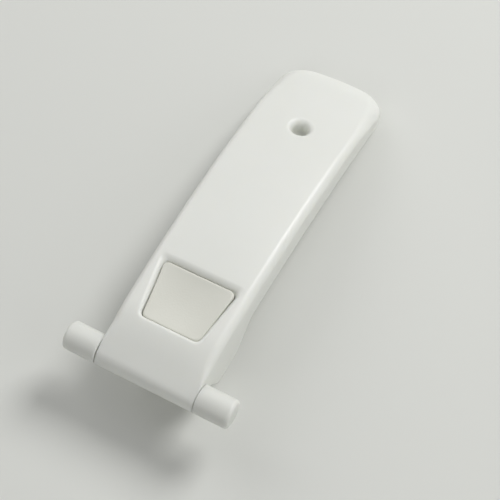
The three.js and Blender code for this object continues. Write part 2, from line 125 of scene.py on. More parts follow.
def linear(code):
    channels = [int(code[i:i + 2], 16) / 255 for i in (1, 3, 5)]
    bent = [c / 12.92 if c <= 0.04045 else ((c + 0.055) / 1.055) ** 2.4 for c in channels]
    return (*bent, 1.0)


def add_node(tree, kind, inputs=None, **settings):
    """Adds a node. Settings are its properties. Inputs gives sockets a value or an output to link."""
    node = tree.nodes.new(kind)
    for name, value in settings.items():
        setattr(node, name, value)
    for socket, value in (inputs or {}).items():
        if isinstance(value, bpy.types.NodeSocket):
            tree.links.new(value, node.inputs[socket])
        else:
            node.inputs[socket].default_value = value
    return node


def new_finish(name, code, **sockets):
    """An empty material with one shader, set to a plain colour and the given values."""
    material = bpy.data.materials.new(name)
    material.use_nodes = True
    tree = material.node_tree
    tree.nodes.clear()
    values = {"Base Color": linear(code)}
    values.update({key.replace("_", " "): value for key, value in sockets.items()})
    shader = add_node(tree, "ShaderNodeBsdfPrincipled", values)
    add_node(tree, "ShaderNodeOutputMaterial", {"Surface": shader.outputs["BSDF"]})
    place = add_node(tree, "ShaderNodeTexCoord").outputs["Object"]
    return material, tree, shader, place


body_white = linear("#E5E6E1")
print("body white is linear", [round(v, 3) for v in body_white[:3]])

# %% [markdown]
# ## Patterns
# Every finish of the latch has the same three parts. A pattern shifts its colour a little,
# the same one or another varies its roughness, and one more raises and lowers its skin. A
# painted image could do this too, but a pattern computed in space has no seams. Its size is
# given in real millimetres, so that it stays true when the camera moves.

# %% Pattern helpers


def noise(tree, place, size, detail=2.0, **more):
    """A cloudy pattern whose blotches are about as large as the size."""
    inputs = {"Vector": place, "Scale": 1 / size, "Detail": detail}
    inputs.update(more)
    return add_node(tree, "ShaderNodeTexNoise", inputs).outputs["Fac"]


def tinted(tree, pattern, light, dark):
    """A colour that the pattern moves between two close ones."""
    node = add_node(tree, "ShaderNodeMix",
                    {"Factor": pattern, "A": linear(light), "B": linear(dark)}, data_type="RGBA")
    return node.outputs["Result"]


def ranged(tree, pattern, low, high, start=0.0, end=1.0):
    """Carries the part of a pattern between start and end over to values from low to high."""
    node = add_node(tree, "ShaderNodeMapRange",
                    {"Value": pattern, "From Min": start, "From Max": end,
                     "To Min": low, "To Max": high})
    return node.outputs["Result"]


def bump(tree, pattern, strength, depth, under=None):
    """A skin raised by a pattern of the given depth, over another bump if there is one."""
    inputs = {"Height": pattern, "Strength": strength, "Distance": depth}
    if under is not None:
        inputs["Normal"] = under
    return add_node(tree, "ShaderNodeBump", inputs).outputs["Normal"]


def dress(tree, shader, colour, rough, skin):
    """Links a finish's colour, roughness and skin to its shader."""
    tree.links.new(colour, shader.inputs["Base Color"])
    tree.links.new(rough, shader.inputs["Roughness"])
    tree.links.new(skin, shader.inputs["Normal"])


print("pattern helpers:", noise.__name__, tinted.__name__, ranged.__name__, bump.__name__)

# %% [markdown]
# ## Satin moulded ABS
# The lever and its trunnions are injection-moulded ABS. A finely blasted steel mould leaves a
# soft sheen with a faint waviness, where thick and thin places cooled at different speeds.
# Handling adds hair-fine scratches that only show in the highlights. White ABS also lets a
# little light in, which softens its shadows and brightens its hollows. So the finish is
# almost one white, with its depth, roughness and bump doing the work.

# %% Moulded ABS
milkiness = 0.6
light_reach = 2 * mm
cloud_size = 14 * mm
sink_size = 11 * mm
sink_depth = 0.03 * mm
grain_size = 0.25 * mm
scratch_length = 3 * mm
scratch_width = 0.12 * mm
scratch_turn = 0.35
scratch_wear = 0.06


def moulded_abs(name, light, dark, gloss, grain_depth):
    material, tree, shader, place = new_finish(
        name, light, IOR=1.54, Subsurface_Weight=milkiness, Subsurface_Scale=light_reach,
        Subsurface_Radius=(1.0, 0.97, 0.9))
    cloud = noise(tree, place, cloud_size, Roughness=0.4)
    stretch = add_node(tree, "ShaderNodeMapping",
                       {"Vector": place, "Rotation": (0.0, 0.0, scratch_turn),
                        "Scale": (1 / scratch_width, 1 / scratch_length, 1 / scratch_width)})
    scratch = noise(tree, stretch.outputs["Vector"], 1, detail=3.0)
    rough = ranged(tree, scratch, gloss, gloss + scratch_wear, start=0.35, end=0.75)
    waves = bump(tree, noise(tree, place, sink_size, detail=1.0), strength=0.5, depth=sink_depth)
    skin = bump(tree, noise(tree, place, grain_size), strength=0.6, depth=grain_depth, under=waves)
    dress(tree, shader, tinted(tree, cloud, light, dark), rough, skin)
    return material


abs_shell = moulded_abs("white_abs_fine_satin_mould", "#E5E6E1", "#E2E3DD",
                        gloss=0.4, grain_depth=0.0015 * mm)
# painted shade: the trunnions are the shell's ABS, but their white is painted darker for the lesser
# light that reaches them low beside the lever
abs_trunnion_painted_shade = moulded_abs("white_abs_satin_mould_painted_shade", "#DDDED9", "#D8D9D3",
                           gloss=0.42, grain_depth=0.003 * mm)
abs_inside = moulded_abs("white_abs_rough_mould", "#DCDDD7", "#D6D7D0",
                         gloss=0.46, grain_depth=0.006 * mm)
print("ABS finishes:", abs_shell.name, abs_trunnion_painted_shade.name, abs_inside.name)

# %% [markdown]
# ## Thumb pad, catch and metal
# The pad is a soft elastomer, moulded in a spark-eroded cavity that leaves it matt and a
# little warmer than the shell. Its colour is also painted darker than the shell's, as painted
# shade for the recess it lies in. The hook is acetal, a slippery and slightly milky plastic.
# The pin is ground steel, the screws are zinc-plated and the springs are drawn wire. The
# three steels share one function, because only their marks and their gloss differ.

# %% Elastomer, acetal and steel
stipple_size = 0.45 * mm  # a spark-eroded cavity's craters, drawn a little coarse so that they show
stipple_depth = 0.03 * mm
flow_size = 5 * mm
acetal_reach = 1.5 * mm
acetal_grain_depth = 0.008 * mm
wire_mark = 0.25 * mm
plating_patch = 1.2 * mm
steel_mark_depth = 0.004 * mm
steel_wear = 0.15


def soft_elastomer(name, light, dark):
    material, tree, shader, place = new_finish(name, light, IOR=1.5)
    patch = noise(tree, place, flow_size, detail=3.0)
    crater = add_node(tree, "ShaderNodeTexVoronoi", {"Vector": place, "Scale": 1 / stipple_size})
    rough = ranged(tree, patch, low=0.48, high=0.6)
    skin = bump(tree, crater.outputs["Distance"], strength=0.35, depth=stipple_depth)
    dress(tree, shader, tinted(tree, patch, light, dark), rough, skin)
    return material


def milky_acetal(name, light, dark):
    material, tree, shader, place = new_finish(
        name, light, IOR=1.48, Subsurface_Weight=0.15, Subsurface_Scale=acetal_reach,
        Subsurface_Radius=(1.0, 1.0, 0.9))
    flow = noise(tree, place, flow_size, detail=4.0, Distortion=0.6)
    rough = ranged(tree, flow, low=0.36, high=0.48)
    skin = bump(tree, noise(tree, place, grain_size), strength=0.5, depth=acetal_grain_depth)
    dress(tree, shader, tinted(tree, flow, light, dark), rough, skin)
    return material


def worked_steel(name, light, dark, gloss, mark_size, along):
    """Steel whose fine marks run round or along the piece: along gives the stretch on each axis."""
    material, tree, shader, place = new_finish(name, light, Metallic=1.0)
    lay = add_node(tree, "ShaderNodeMapping",
                   {"Vector": place, "Scale": tuple(a / mark_size for a in along)})
    marks = noise(tree, lay.outputs["Vector"], 1, detail=3.0)
    skin = bump(tree, marks, strength=0.4, depth=steel_mark_depth)
    rough = ranged(tree, marks, gloss, gloss + steel_wear)
    dress(tree, shader, tinted(tree, marks, light, dark), rough, skin)
    return material


# %% Small finishes
# painted shade: the pad's colour is darker than the shell's partly for its own warmer tone and partly
# for the shade of its recess
pad_elastomer_painted_shade = soft_elastomer("grey_elastomer_spark_eroded_painted_shade", "#DADAD1", "#D5D5CB")
catch_acetal = milky_acetal("white_acetal_moulded", "#E0E0DB", "#D8D8D2")
all_ways = (1, 1, 1)
round_the_bar = (1, 0.1, 0.1)
pin_steel = worked_steel("steel_centreless_ground", "#C3C5C6", "#A9ABAD",
                         gloss=0.2, mark_size=wire_mark, along=round_the_bar)
screw_steel = worked_steel("steel_zinc_plated", "#CDCFD0", "#B7B9B6",
                           gloss=0.28, mark_size=plating_patch, along=all_ways)
spring_steel = worked_steel("steel_drawn_wire", "#B9BABB", "#8F9092",
                            gloss=0.24, mark_size=wire_mark, along=all_ways)
print("plastics:", pad_elastomer_painted_shade.name, catch_acetal.name)
print("steels:", pin_steel.name, screw_steel.name, spring_steel.name)

# %% [markdown]
# ## Floor and light
# The latch lies on a white sheet. The main lamp stands behind it and to the right, so the
# shadows fall towards the viewer. Weaker and broader ones on the left, on the right and in
# front lift the sides of the lever, and the rest is faint light from the room. Area lamps are
# used, because their size alone sets how soft a shadow is. Together they light a level surface
# so that its colour shows about as it is written. Where the room itself is seen or mirrored,
# it shows as a plain pale wall.

# %% Floor
sheet_size = 1.6
sheet_grain = 2.5 * mm
sheet_relief = 0.02 * mm
sheet_drop = 0.05 * mm


def paper_sheet(name, code):
    material, tree, shader, place = new_finish(
        name, code, Roughness=0.75, IOR=1.4, Specular_IOR_Level=0.2)
    fibres = noise(tree, place, sheet_grain, detail=4.0)
    skin = bump(tree, fibres, strength=0.15, depth=sheet_relief)
    tree.links.new(skin, shader.inputs["Normal"])
    return material


floor_mesh = bpy.data.meshes.new("floor")
half = sheet_size / 2
floor_mesh.from_pydata([(-half, -half, 0), (half, -half, 0), (half, half, 0), (-half, half, 0)],
                       [], [(0, 1, 2, 3)])
floor = bpy.data.objects.new("floor", floor_mesh)
bpy.context.scene.collection.objects.link(floor)
floor.location.z = -sheet_drop
floor_mesh.materials.append(paper_sheet("matt_white_paper", "#DBDCD7"))
print("floor", sheet_size, "m square")

# %% Lamps
lamp_distance = 1.0


def soft_lamp(name, heading, elevation, size, power):
    """A round area lamp that faces the latch. Heading is measured from +X towards +Y, in degrees."""
    data = bpy.data.lights.new(name, "AREA")
    data.shape = "DISK"
    data.size = size
    data.energy = power
    lamp = bpy.data.objects.new(name, data)
    bpy.context.scene.collection.objects.link(lamp)
    a = math.radians(heading)
    e = math.radians(elevation)
    way = Vector((math.cos(a) * math.cos(e), math.sin(a) * math.cos(e), math.sin(e)))
    lamp.location = way * lamp_distance
    lamp.rotation_euler = way.to_track_quat("Z", "Y").to_euler()


soft_lamp("lamp_behind", heading=64, elevation=46, size=0.45, power=6.4)
soft_lamp("lamp_left", heading=158, elevation=38, size=0.8, power=3.0)
soft_lamp("lamp_front", heading=272, elevation=34, size=0.5, power=1.9)
soft_lamp("lamp_right", heading=5, elevation=30, size=0.9, power=2.1)
bpy.context.scene.view_settings.view_transform = "Standard"
print("lamps:", [light.name for light in bpy.data.lights])

# %% Light from the room
bright_way = Vector((0.2, 0.9, 0.3)).normalized()
room_bright = 0.14
room_dim = 0.08

world = bpy.data.worlds.new("room")
world.use_nodes = True
bpy.context.scene.world = world
room = world.node_tree
room.nodes.clear()
way = add_node(room, "ShaderNodeTexCoord").outputs["Generated"]
toward = add_node(room, "ShaderNodeVectorMath", {0: way, 1: bright_way}, operation="DOT_PRODUCT")
strength = ranged(room, toward.outputs["Value"], room_dim, room_bright, start=-1.0)
glow = add_node(room, "ShaderNodeBackground", {"Color": linear("#FCFDFF"), "Strength": strength})
wall_seen = add_node(room, "ShaderNodeBackground", {"Color": linear("#D6D7D3"), "Strength": 1.0})
ray = add_node(room, "ShaderNodeLightPath").outputs
direct = add_node(room, "ShaderNodeMath", {0: ray["Is Camera Ray"], 1: ray["Is Glossy Ray"]},
                  operation="MAXIMUM")
shown = add_node(room, "ShaderNodeMath",
                 {0: direct.outputs["Value"], 1: ray["Is Transmission Ray"]}, operation="MAXIMUM")
seen = add_node(room, "ShaderNodeMixShader",
                {0: shown.outputs["Value"], 1: glow.outputs["Background"],
                 2: wall_seen.outputs["Background"]})
add_node(room, "ShaderNodeOutputWorld", {"Surface": seen.outputs["Shader"]})
print("room light from", room_dim, "to", room_bright)

# %% [markdown]
# ## Mesh helpers
# Most pieces here are either skins over a run of cross-sections or shapes turned round an
# axis. Both are rings of points, so one function joins rings into a mesh. Cutting tools are
# made the same way.

# %% Mesh helpers
turn_facets = 72
weld_distance = 0.001 * mm
pinhole = 0.01 * mm  # radius at which a turned shape closes on its axis


def new_piece(name, points, faces, material):
    mesh = bpy.data.meshes.new(name)
    mesh.from_pydata([tuple(map(float, p)) for p in points], [], faces)
    mesh.materials.append(material)
    piece = bpy.data.objects.new(name, mesh)
    bpy.context.scene.collection.objects.link(piece)
    return piece


def skin_over(name, rings, material):
    """Joins rings of equal length into one closed mesh, with its normals outwards."""
    count = len(rings[0])
    points = [p for ring in rings for p in ring]
    faces = []
    for i in range(len(rings) - 1):
        for j in range(count):
            a, b = i * count + j, i * count + (j + 1) % count
            faces.append((a, b, b + count, a + count))
    faces.append(tuple(range(count))[::-1])
    faces.append(tuple(range(len(points) - count, len(points))))
    piece = new_piece(name, points, faces, material)
    face_outwards(piece)
    return piece


def face_outwards(piece):
    shape = bmesh.new()
    shape.from_mesh(piece.data)
    bmesh.ops.remove_doubles(shape, verts=shape.verts, dist=weld_distance)
    bmesh.ops.recalc_face_normals(shape, faces=shape.faces)
    shape.to_mesh(piece.data)
    shape.free()


def turned_rings(profile, place):
    """Rings of points for a profile of (radius, height) pairs, turned round Z and then put in place."""
    rings = []
    for radius, height in profile:
        ring = []
        for k in range(turn_facets):
            a = 2 * math.pi * k / turn_facets
            ring.append(place @ Vector((radius * math.cos(a), radius * math.sin(a), height)))
        rings.append(ring)
    return rings


print("one turn has", turn_facets, "facets")

# %% [markdown]
# ## Cuts and shading
# A moulded hole or window leaves a clean edge. A boolean with the exact solver cuts such an
# edge into a mesh, where a bevel or a hand-made hole would need much more bookkeeping. Its
# odd-shaped faces would shade badly, so the normals are weighted by the size of the faces.

# %% Cutting, shading and handing over
sharp_edge = math.radians(32)


def apply_modifiers(piece):
    bpy.context.view_layer.update()
    graph = bpy.context.evaluated_depsgraph_get()
    mesh = bpy.data.meshes.new_from_object(piece.evaluated_get(graph))
    old = piece.data
    piece.modifiers.clear()
    piece.data = mesh
    mesh.name = piece.name
    bpy.data.meshes.remove(old)


def carve(piece, tools, operation="DIFFERENCE"):
    """Cuts tools out of a piece, or joins them to it, and throws the tools away."""
    for tool in tools:
        step = piece.modifiers.new("carve", "BOOLEAN")
        step.operation = operation
        step.solver = "EXACT"
        step.object = tool
        apply_modifiers(piece)
        bpy.data.objects.remove(tool)


def smooth_shade(piece):
    """Smooth shading that follows the large faces, and leaves sharp edges sharp."""
    piece.data.polygons.foreach_set("use_smooth", [True] * len(piece.data.polygons))
    piece.data.set_sharp_from_angle(angle=sharp_edge)
    weigh = piece.modifiers.new("weigh", "WEIGHTED_NORMAL")
    weigh.keep_sharp = True
    weigh.mode = "FACE_AREA"


def finish_piece(piece, body, slot, *nodes):
    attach(piece, body)
    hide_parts(*nodes)


print("edges over", round(math.degrees(sharp_edge)), "degrees stay sharp")

# %% [markdown]
# ## The shape of the lever
# Seen from the side, the lever is a long arch that ends flat on the table, and a short
# straight ramp joins it to the round bar. Seen from above, it is a strip that widens a little
# and closes in a squarish round tip. So its height and its width are two functions of the
# distance from the bar, and every cross-section comes from them. A subdivided box would be
# quicker to start with, but it couldn't be made to meet the bar and the frame's sizes.

# %% Lever sizes
arch_peak = 15 * mm  # distances run from the bar towards the tip, and heights from the table
tip_height = 5.2 * mm
ramp_run = 7.5 * mm
ramp_blend = 1.6 * mm
cheek_run = 7 * mm
skirt_depth = 9.2 * mm
underside_peak = 12 * mm
heel_setback = 7 * mm
root_width = 24.5 * mm
tip_width = 29 * mm
tip_run = 11 * mm
tip_squareness = 3
lip_run = 7 * mm
lip_height = 1.6 * mm
crown = 0.35 * mm
lug_foot = 5.2 * mm  # the lugs are the two feet beside the hook
lug_start = 3.9 * mm
lug_drop = 4.6 * mm
lug_length = 6.5 * mm
lug_rise = 9.5 * mm


print("lever", root_width / mm, "mm wide at the bar and", tip_width / mm, "mm at the tip")

# %% Curve helpers


def arc_radius(run, drop):
    """Radius of the circle that falls by drop at a distance of run from its top."""
    return (run * run + drop * drop) / (2 * drop)


def smoothstep(x, low, high):
    t = min(1.0, max(0.0, (x - low) / (high - low)))
    return t * t * (3 - 2 * t)


def mix(a, b, share):
    return a + (b - a) * share


print("halfway through a smooth step:", smoothstep(0.5, 0, 1))

# %% [markdown]
# ## The lever's side view
# The top follows the round of the bar, then a straight ramp that just touches it, then one
# arc of a large circle. A freehand curve could do it too, but an arc and a tangent are what a
# designer would draw, and they stay smooth when a size changes. Where ramp and arch meet, a
# soft minimum rounds off the ridge. The lower edge leaves the bar, drops to the lugs beside
# the hook and runs out along an arc of its own.

# %% Side view
top_radius = arc_radius(lever_reach - arch_peak, arch_height - tip_height)
underside_height = arch_height - skirt_depth
underside_radius = arc_radius(lever_reach - heel_setback - underside_peak, underside_height)


def arch_at(y):
    return arch_height - (top_radius - math.sqrt(top_radius ** 2 - (y - arch_peak) ** 2))


def soft_lower(a, b, reach):
    """The lower of two heights, with a soft join where they differ by less than the reach."""
    near = max(0.0, 1 - abs(a - b) / reach)
    return min(a, b) - near * near * reach / 4


ramp_rise = arch_at(ramp_run) - bar_z
ramp_angle = math.acos(bar_radius / math.hypot(ramp_run, ramp_rise)) - math.atan2(ramp_run, ramp_rise)


def top_at(y):
    if y < -bar_radius * math.sin(ramp_angle):
        return bar_z + math.sqrt(max(0.0, bar_radius ** 2 - y ** 2))
    ramp = bar_z + bar_radius / math.cos(ramp_angle) + y * math.tan(ramp_angle)
    u = max(0.0, (y - (lever_reach - lip_run)) / lip_run)
    top = soft_lower(ramp, arch_at(y), ramp_blend)
    return lip_height + (top - lip_height) * math.sqrt(max(0.0, 1 - u * u))


def underside_at(y):
    run = min(y, lever_reach - heel_setback) - underside_peak
    return max(0.0, underside_height - (underside_radius - math.sqrt(underside_radius ** 2 - run ** 2)))


def lug_at(y):
    rise_start = lug_start + lug_drop + lug_length
    down = smoothstep(y, lug_start, lug_start + lug_drop)
    return down * (1 - smoothstep(y, rise_start, rise_start + lug_rise))


def lower_edge_at(y):
    bar_bottom = bar_z - math.sqrt(max(0.0, bar_radius ** 2 - min(y, 0) ** 2))
    edge = mix(bar_bottom, underside_at(y), smoothstep(y, 0, cheek_run))
    return mix(edge, lug_foot, lug_at(y))


print("ramp rises at", round(math.degrees(ramp_angle), 1), "degrees")

# %% [markdown]
# ## The lever's plan
# From above, the sides are straight and spread a little towards the tip. The tip is a
# superellipse: fuller than a half circle, as a thumb tab is, and without a corner.

# %% Plan view


def half_width_at(y, inset=0.0):
    straight = mix(root_width, tip_width, y / lever_reach) / 2 - inset
    u = max(0.0, (y - (lever_reach - tip_run)) / (tip_run - inset))
    return straight * max(0.0, 1 - u ** tip_squareness) ** (1 / tip_squareness)


for distance in (0, 25, 50, 75, 95):
    y = distance * mm
    print(f"{distance} mm out: top {top_at(y) / mm:.1f}, half width {half_width_at(y) / mm:.1f} mm")

# %% [markdown]
# ## The lever's cover
# The cover is a thin moulded shell, made here as an outer skin with its hollow cut out. A
# solidify modifier would be shorter, but it thickens the skin the same everywhere and leaves
# no say over the inside. Each section has a small foot, an upright side, a rounded edge and
# a slightly crowned top. The edge is tight where the lever runs flush onto the bar, fuller
# along the top and fullest round the tip.

# %% Cross-sections
wall = 1.8 * mm
nose_edge_radius = 0.35 * mm
edge_radius = 2.2 * mm
tip_edge_radius = 4.2 * mm
foot_radius = 0.4 * mm
inner_edge_radius = 0.4 * mm
cavity_setback = 8 * mm
largest_edge = (0.8, 0.9)  # as shares of a section's height and of its half width
largest_foot = (0.15, 0.5)
corner_steps = 12
foot_steps = 4
side_steps = 4
top_steps = 14


def edge_at(y):
    """Rounding of the top's edges: tight where the lever meets the bar flush, and full at the tip."""
    along_top = mix(nose_edge_radius, edge_radius, smoothstep(y, 0, cheek_run))
    grow = smoothstep(y, lever_reach - 2 * tip_run, lever_reach - tip_run / 2)
    return mix(along_top, tip_edge_radius, grow)


def cross_section(y, half, top, bottom, radius, rise):
    """Foot, side, rounded edge and crowned top of the right half, then the same on the left."""
    height = top - bottom
    r = min(radius, largest_edge[0] * height, largest_edge[1] * half)
    foot = min(foot_radius, largest_foot[0] * height, largest_foot[1] * half)
    right = []
    for k in range(foot_steps + 1):
        a = -math.pi / 2 + math.pi / 2 * k / foot_steps
        right.append((half - foot + foot * math.cos(a), bottom + foot + foot * math.sin(a)))
    for k in range(1, side_steps):
        right.append((half, mix(bottom + foot, top - r, k / side_steps)))
    for k in range(corner_steps + 1):
        a = math.pi / 2 * k / corner_steps
        right.append((half - r + r * math.cos(a), top - r + r * math.sin(a)))
    for k in range(1, top_steps):
        share = 1 - k / top_steps
        right.append(((half - r) * share, top + rise * (1 - share * share)))
    left = [(-x, z) for x, z in reversed(right)]
    outline = [*right, (0.0, top + rise), *left]
    return [(x, bar_y + y, z) for x, z in outline]


def spread(low, high, count, both_ends=False):
    """Values from low to high, evenly or crowded towards both ends."""
    t = np.linspace(0, 1, count + 1)
    if both_ends:
        t = (1 - np.cos(np.pi * t)) / 2
    return list(low + (high - low) * t)


print("a section has", len(cross_section(0, 1, 1, 0, foot_radius, 0)), "points")

# %% Stations along the lever
nose_count = 24
lug_count = 44
body_count = 34
tip_count = 40
tip_turn = 1.545  # radians, just short of a quarter turn, so that the last section isn't empty
lug_end = lug_start + lug_drop + lug_length + lug_rise
tip_start = lever_reach - 2 * tip_run
nose_stations = spread(-bar_radius + pinhole, bar_radius, nose_count, both_ends=True)
lug_stations = spread(bar_radius, lug_end, lug_count)[1:]
body_stations = spread(lug_end, tip_start, body_count)[1:]
tip_stations = [tip_start + (lever_reach - tip_start) * math.sin(t)
                for t in np.linspace(0, tip_turn, tip_count)][1:]
stations = nose_stations + lug_stations + body_stations + tip_stations
cavity_end = lever_reach - cavity_setback
cavity_stations = [bar_radius, *[s for s in stations if bar_radius < s < cavity_end], cavity_end]
print("stations:", len(stations), "outside and", len(cavity_stations), "inside")

# %% Outer skin and hollow
cover = skin_over("lever_cover_shell", [
    cross_section(y, half_width_at(y), top_at(y) - crown, lower_edge_at(y), edge_at(y), crown)
    for y in stations], abs_shell)
hollow = skin_over("hollow", [
    cross_section(y, half_width_at(y, wall), top_at(y) - crown - wall, lower_edge_at(y) - wall,
                  max(edge_at(y) - wall, inner_edge_radius), crown)
    for y in cavity_stations], abs_inside)
carve(cover, [hollow])
print("cover shell:", len(cover.data.polygons), "faces")

# %% [markdown]
# ## The window
# The window is cut through the top for the thumb pad. Its outline is a trapezoid with rounded
# corners, and its top edge is rolled over, a little at the bar and more at the far side. A
# bevel on a cut edge fails easily on a curved top. So the cutting tool itself flares out in a
# quarter round, and the cut leaves the roll behind.

# %% Window outline
window_start = 9 * mm
window_length = 14.5 * mm
window_near_width = 14.6 * mm
window_far_width = 18.4 * mm
window_corner = 1.6 * mm
corner_points = 12
side_points = 14


def window_outline(offset):
    """Points round the window, grown by an offset."""
    start, end = window_start - offset, window_start + window_length + offset
    near, far = window_near_width / 2 + offset, window_far_width / 2 + offset
    corners = [Vector(c) for c in ((-near, start), (near, start), (far, end), (-far, end))]
    points = []
    for i, corner in enumerate(corners):
        before, after = corners[i - 1], corners[(i + 1) % 4]
        a = corner + (before - corner).normalized() * window_corner
        b = corner + (after - corner).normalized() * window_corner
        for k in range(corner_points + 1):
            t = k / corner_points
            points.append(a * (1 - t) ** 2 + corner * (2 * t * (1 - t)) + b * t * t)
        c = after + (corner - after).normalized() * window_corner
        for k in range(1, side_points):
            points.append(b.lerp(c, k / side_points))
    return points


def surface_at(x, y):
    """Height of the lever's top, with its crown."""
    inner = half_width_at(y) - edge_at(y)
    return top_at(y) - crown * min(1.0, abs(x) / inner) ** 2


print("window outline has", len(window_outline(0)), "points")

# %% Window tool
near_roll = 0.7 * mm
far_roll = 1.9 * mm
roll_steps = 10
overshoot = 0.5 * mm
skim = 0.005 * mm  # a roll ends this far above the top, so that no edge lies in its surface
tool_depth = 2 * mm  # below the button's top
button_top = node_box("release_button")[1][2]


def window_tool():
    """The window's outline pulled up to the lever's top, where it flares out in a quarter round."""
    inner_line = window_outline(0)
    outer_line = window_outline(mm)
    rings = [[(p.x, bar_y + p.y, button_top - tool_depth) for p in inner_line]]
    for k in range(roll_steps + 2):
        a = math.pi / 2 * min(k, roll_steps) / roll_steps
        ring = []
        for inner, outer in zip(inner_line, outer_line):
            share = (inner.y - window_start) / window_length
            roll = mix(near_roll, far_roll, min(1.0, max(0.0, share)))
            reach = roll * (1 - math.cos(a))
            height = roll * (math.sin(a) - 1) + skim
            if k > roll_steps:
                reach = roll + overshoot
                height = overshoot
            p = inner + (outer - inner) * (reach / mm)
            ring.append((p.x, bar_y + p.y, surface_at(p.x, p.y) + height))
        rings.append(ring)
    return skin_over("window_tool", rings, abs_shell)


print("window rolled", round(near_roll / mm, 1), "to", round(far_roll / mm, 1), "mm")

# %% [markdown]
# ## The holes
# Near the tip is a small blind hole with a soft rim. The bore for the pin runs across the
# lever, and four screw bosses stand inside it, each a plain tube. All of them are turned
# shapes, so each is a profile spun round its axis and then put in place. That keeps them
# truly round, which a hole drawn on the curved top wouldn't be.

# %% Hole tool
hole_diameter = 4.4 * mm
hole_depth = 4 * mm
hole_setback = 26 * mm
hole_flare = 1.6 * mm
hole_floor = 1.4 * mm
boss_wall = 1.5 * mm
hole_y = lever_reach - hole_setback
square_to_top = (Matrix.Translation((0, bar_y + hole_y, arch_at(hole_y)))
                 @ Matrix.Rotation(-math.asin((hole_y - arch_peak) / top_radius), 4, "X"))


def hole_tool():
    """Blind hole with a rounded floor and a rim that rolls into the sloping top."""
    radius = hole_diameter / 2
    quarter = spread(0, math.pi / 2, roll_steps)
    profile = [(pinhole, -hole_depth)]
    for a in quarter:
        profile.append((radius - hole_floor * (1 - math.sin(a)),
                        hole_floor * (1 - math.cos(a)) - hole_depth))
    for a in quarter:
        profile.append((radius + hole_flare * (1 - math.cos(a)),
                        skim - hole_flare * (1 - math.sin(a))))
    profile.append((radius + hole_flare + overshoot, overshoot))
    return skin_over("hole_tool", turned_rings(profile, square_to_top), abs_shell)


print("blind hole", round(hole_diameter / mm, 1), "mm wide")

# %% Pin bore and screw places


def plain_rod(name, radius, low, high, place):
    return skin_over(name, turned_rings([(radius, low), (radius, high)], place), abs_inside)


pin_low, pin_high = node_box("pivot_pin")
pin_radius = (pin_high[2] - pin_low[2]) / 2
across = Matrix.Translation((0, bar_y, bar_z)) @ Matrix.Rotation(math.pi / 2, 4, "Y")
pin_play = 0.1 * mm
pin_bore = plain_rod("pin_bore", pin_radius + pin_play, -root_width, root_width, across)

screw_shank = 1.1 * mm
screw_length = 5.9 * mm
screw_rows = (41 * mm, 64 * mm)
screw_inset = 6.2 * mm
screw_play = 0.1 * mm
screw_end_gap = 0.3 * mm
base_thickness = 1.4 * mm
screw_places = []
for distance in screw_rows:
    tilt = -math.asin((distance - underside_peak) / underside_radius)
    for side in (-1, 1):
        spot = (side * (half_width_at(distance) - screw_inset), bar_y + distance,
                underside_at(distance))
        screw_places.append((Matrix.Translation(spot) @ Matrix.Rotation(tilt, 4, "X"),
                             top_at(distance) - underside_at(distance) - wall / 2))
print("screws at", [round(v / mm) for v in screw_rows], "mm from the bar")

# %% Join the bosses and cut the cover
bosses = [plain_rod("boss", screw_shank + boss_wall, base_thickness + screw_end_gap, reach, place)
          for place, reach in screw_places]
bosses.append(plain_rod("boss", hole_diameter / 2 + boss_wall, -hole_depth - boss_wall, -wall / 2,
                        square_to_top))
pilots = [plain_rod("pilot", screw_shank + screw_play, 0, screw_length + screw_end_gap, place)
          for place, _ in screw_places]
carve(cover, bosses, "UNION")
carve(cover, [window_tool(), hole_tool(), pin_bore, *pilots])
smooth_shade(cover)
finish_piece(cover, "lever", "lever_shell", "lever_cover")
print("cut cover:", len(cover.data.polygons), "faces")

# %% [markdown]
# ## The bar
# The lever turns on a steel pin, and each end of the pin carries a plastic trunnion as thick
# as the lever's own round end, so that the three look like one bar. A cylinder with a bevel
# would do for the outside, but a turned profile also gives the flat inner face and the blind
# bore in one go.

# %% Pin and trunnions
trunnion_edge = 0.9 * mm
inner_edge = 0.05 * mm
seam = 0.12 * mm
bore_end_gap = 0.3 * mm
pin_chamfer = 0.4 * mm
edge_steps = 10


def rounded(radius, height, edge, up=1):
    """Quarter round from the side of a turned piece to its end face."""
    corner = []
    for k in range(edge_steps + 1):
        a = math.pi / 2 * k / edge_steps
        corner.append((radius - edge + edge * math.cos(a), height + up * edge * (math.sin(a) - 1)))
    return corner


def make_trunnion(node, side):
    low, high = node_box(node)
    inner_x = side * (root_width / 2 + seam)
    length = max(abs(low[0]), abs(high[0])) - abs(inner_x)
    depth = pin_high[0] - abs(inner_x) + bore_end_gap
    bore = pin_radius + pin_play
    profile = [(pinhole, depth), (bore, depth), (bore, 0)]
    profile += rounded(bar_radius, 0, inner_edge, up=-1)[::-1]
    profile += rounded(bar_radius, length, trunnion_edge)
    profile.append((pinhole, length))
    place = (Matrix.Translation((inner_x, bar_y, bar_z))
             @ Matrix.Rotation(side * math.pi / 2, 4, "Y"))
    piece = skin_over(node + "_moulded", turned_rings(profile, place), abs_trunnion_painted_shade)
    smooth_shade(piece)
    finish_piece(piece, "pivot", "trunnion", node)
    print(node, "length", round(length / mm, 2), "mm")


make_trunnion("trunnion_left", -1)
make_trunnion("trunnion_right", 1)

half_pin = (pin_high[0] - pin_low[0]) / 2
pin_profile = [(pinhole, -half_pin), (pin_radius - pin_chamfer, -half_pin),
               (pin_radius, -half_pin + pin_chamfer), (pin_radius, half_pin - pin_chamfer),
               (pin_radius - pin_chamfer, half_pin), (pinhole, half_pin)]
pin = skin_over("pivot_pin_ground", turned_rings(pin_profile, across), pin_steel)
smooth_shade(pin)
finish_piece(pin, "pivot", "pin_steel", "pivot_pin")

# %% [markdown]
# ## The thumb pad
# The pad is bonded to the button in the window. Its edge is rounded, and its face is a
# shallow dish that is deeper towards the bar, so that the thumb finds it. A sculpted plane
# could give the same dish, but not one that follows the window. So it is built as rings
# along the window's outline that shrink to the middle, with heights taken from the dish.

